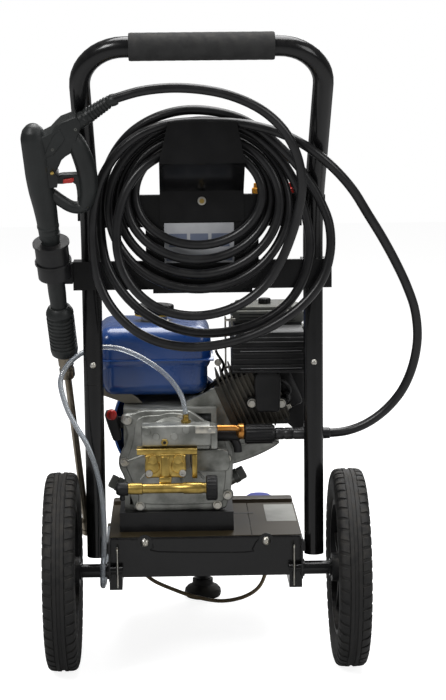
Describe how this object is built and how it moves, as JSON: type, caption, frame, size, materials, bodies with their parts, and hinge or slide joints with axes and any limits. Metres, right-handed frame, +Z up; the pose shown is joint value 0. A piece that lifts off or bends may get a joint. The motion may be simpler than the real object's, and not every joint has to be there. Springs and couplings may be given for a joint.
{
  "type": "petrol pressure washer",
  "caption": "Engine-driven pressure washer on a two-wheel trolley with a leaning handle, a hose looped over a hook, a spray gun in a holder and a detergent tank.",
  "frame": {"origin": "centre of the front foot's face on the ground", "axes": "+Z up, +Y towards the foot and away from the person at the handle, +X to that person's right"},
  "size_m": [0.5952, 0.6114, 0.969],
  "materials": {
    "black_steel": "gloss black powder coat",
    "black_panel": "gloss black powder coat",
    "foam": "matte foam rubber",
    "foot_rubber": "moulded rubber",
    "black_plastic": "moulded black plastic",
    "gun_plastic": "fine-grained moulded plastic",
    "grey_plastic": "grey moulded plastic",
    "zinc": "bright zinc plating",
    "green_plastic": "gloss",
    "yellow_plastic": "gloss",
    "white_plastic": "gloss",
    "red_plastic": "gloss",
    "tread": "moulded rubber",
    "rim_plastic": "moulded black plastic",
    "cast_alu": "as cast",
    "steel": "machined",
    "blue_paint": "gloss royal blue enamel",
    "brass": "machined brass",
    "hose_rubber": "smooth rubber",
    "clear_tube": "clear soft tube",
    "brown_tube": "tinted soft tube",
    "smoky": "smoky translucent plastic",
    "blue_plastic": "moulded plastic"
  },
  "bodies": {
    "trolley": {"base_tray": "black_steel", "support_rails": "black_steel", "front_foot": "foot_rubber", "left_upright": "black_steel", "right_upright": "black_steel", "handle_tube": "black_steel", "handle_grip": "foam", "cross_panel": "black_panel", "hose_hook": "black_panel", "gun_holder": "black_plastic", "bolts": "zinc", "stub_axles": "black_steel", "hairpins": "zinc", "engine_mount": "black_panel", "crankcase": "cast_alu", "side_cover": "cast_alu", "cylinder_block": "cast_alu", "valve_cover": "black_plastic", "muffler": "black_panel", "air_cleaner": "grey_plastic", "carburettor": "cast_alu", "fuel_tank": "blue_paint", "recoil_housing": "blue_paint", "recoil_grip": "black_plastic", "switch_box": "black_plastic", "pump_body": "cast_alu", "pump_head": "brass", "inlet_manifold": "brass", "outlet_elbow": "black_plastic", "hose_sleeve": "hose_rubber", "pressure_hose": "hose_rubber", "hose_coil": "hose_rubber", "detergent_tube": "clear_tube", "drain_tube": "brown_tube", "detergent_tank": "smoky", "gun_body": "gun_plastic", "lance": "steel", "lance_grip": "gun_plastic"},
    "left_wheel": {"left_tyre": "tread", "left_rim": "rim_plastic"},
    "right_wheel": {"right_tyre": "tread", "right_rim": "rim_plastic"},
    "crank": {"crankshaft": "steel", "flywheel": "steel"},
    "piston": {"piston": "cast_alu"},
    "trigger": {"gun_trigger": "gun_plastic"},
    "trigger_lock": {"trigger_lock": "red_plastic"},
    "engine_switch": {"engine_switch": "red_plastic"},
    "fuel_cap": {"fuel_cap": "black_plastic"},
    "detergent_cap": {"detergent_cap": "blue_plastic"},
    "left_dipstick": {"left_dipstick": "black_plastic"},
    "right_dipstick": {"right_dipstick": "black_plastic"},
    "air_cleaner_knob": {"air_cleaner_knob": "black_plastic"},
    "hose_connector": {"hose_connector": "black_plastic"},
    "hose_nut": {"hose_nut": "black_plastic"},
    "soap_nozzle": {"soap_nozzle": "black_plastic"},
    "green_nozzle": {"green_nozzle": "green_plastic"},
    "yellow_nozzle": {"yellow_nozzle": "yellow_plastic"},
    "white_nozzle": {"white_nozzle": "white_plastic"},
    "red_nozzle": {"red_nozzle": "red_plastic"}
  },
  "joints": [
    {"name": "left_wheel_spin", "type": "hinge", "parent": "trolley", "child": "left_wheel", "pos_m": [-0.22, -0.4, 0.1525], "axis": [1, 0, 0], "continuous": true},
    {"name": "right_wheel_spin", "type": "hinge", "parent": "trolley", "child": "right_wheel", "pos_m": [0.22, -0.4, 0.1525], "axis": [1, 0, 0], "continuous": true},
    {"name": "crank_spin", "type": "hinge", "parent": "trolley", "child": "crank", "pos_m": [-0.05, -0.3, 0.338], "axis": [0, 1, 0], "continuous": true},
    {"name": "piston_slide", "type": "slide", "parent": "trolley", "child": "piston", "axis": [0.9135, 0, 0.4067], "range_m": [0, 0.054]},
    {"name": "trigger_pull", "type": "hinge", "parent": "trolley", "child": "trigger", "pos_m": [-0.21166, -0.49011, 0.76152], "axis": [-0.0293, 0.9121, 0.4089], "range_deg": [-10, 0], "stiffness_Nm_per_rad": 0.4, "springref_deg": 2.86},
    {"name": "trigger_lock_turn", "type": "hinge", "parent": "trigger", "child": "trigger_lock", "pos_m": [-0.20032, -0.49659, 0.75722], "axis": [-0.0293, 0.9121, 0.4089], "range_deg": [-35, 0]},
    {"name": "engine_switch_turn", "type": "hinge", "parent": "trolley", "child": "engine_switch", "pos_m": [-0.143, -0.343, 0.386], "axis": [0, 1, 0], "range_deg": [0, 90]},
    {"name": "fuel_cap_turn", "type": "hinge", "parent": "trolley", "child": "fuel_cap", "pos_m": [-0.076, -0.2, 0.525], "axis": [0, 0, 1], "range_deg": [0, 90]},
    {"name": "detergent_cap_turn", "type": "hinge", "parent": "trolley", "child": "detergent_cap", "pos_m": [0.097, -0.057, 0.19], "axis": [0, 0, 1], "continuous": true},
    {"name": "left_dipstick_turn", "type": "hinge", "parent": "trolley", "child": "left_dipstick", "pos_m": [-0.121, -0.304, 0.26], "axis": [-0.8829, 0, 0.4695], "continuous": true},
    {"name": "right_dipstick_turn", "type": "hinge", "parent": "trolley", "child": "right_dipstick", "pos_m": [0.016, -0.304, 0.26], "axis": [0.8829, 0, 0.4695], "continuous": true},
    {"name": "air_cleaner_knob_turn", "type": "hinge", "parent": "trolley", "child": "air_cleaner_knob", "pos_m": [0.103, -0.185, 0.54], "axis": [0, 0, 1], "continuous": true},
    {"name": "hose_connector_turn", "type": "hinge", "parent": "trolley", "child": "hose_connector", "pos_m": [0.008, -0.43, 0.287], "axis": [1, 0, 0], "continuous": true},
    {"name": "hose_nut_turn", "type": "hinge", "parent": "trolley", "child": "hose_nut", "pos_m": [0.08, -0.356, 0.355], "axis": [1, 0, 0], "continuous": true},
    {"name": "soap_nozzle_lift", "type": "slide", "parent": "trolley", "child": "soap_nozzle", "axis": [0, 0, 1], "range_m": [0, 0.03]},
    {"name": "green_nozzle_lift", "type": "slide", "parent": "trolley", "child": "green_nozzle", "axis": [0, 0, 1], "range_m": [0, 0.03]},
    {"name": "yellow_nozzle_lift", "type": "slide", "parent": "trolley", "child": "yellow_nozzle", "axis": [0, 0, 1], "range_m": [0, 0.03]},
    {"name": "white_nozzle_lift", "type": "slide", "parent": "trolley", "child": "white_nozzle", "axis": [0, 0, 1], "range_m": [0, 0.03]},
    {"name": "red_nozzle_lift", "type": "slide", "parent": "trolley", "child": "red_nozzle", "axis": [0, 0, 1], "range_m": [0, 0.03]}
  ]
}
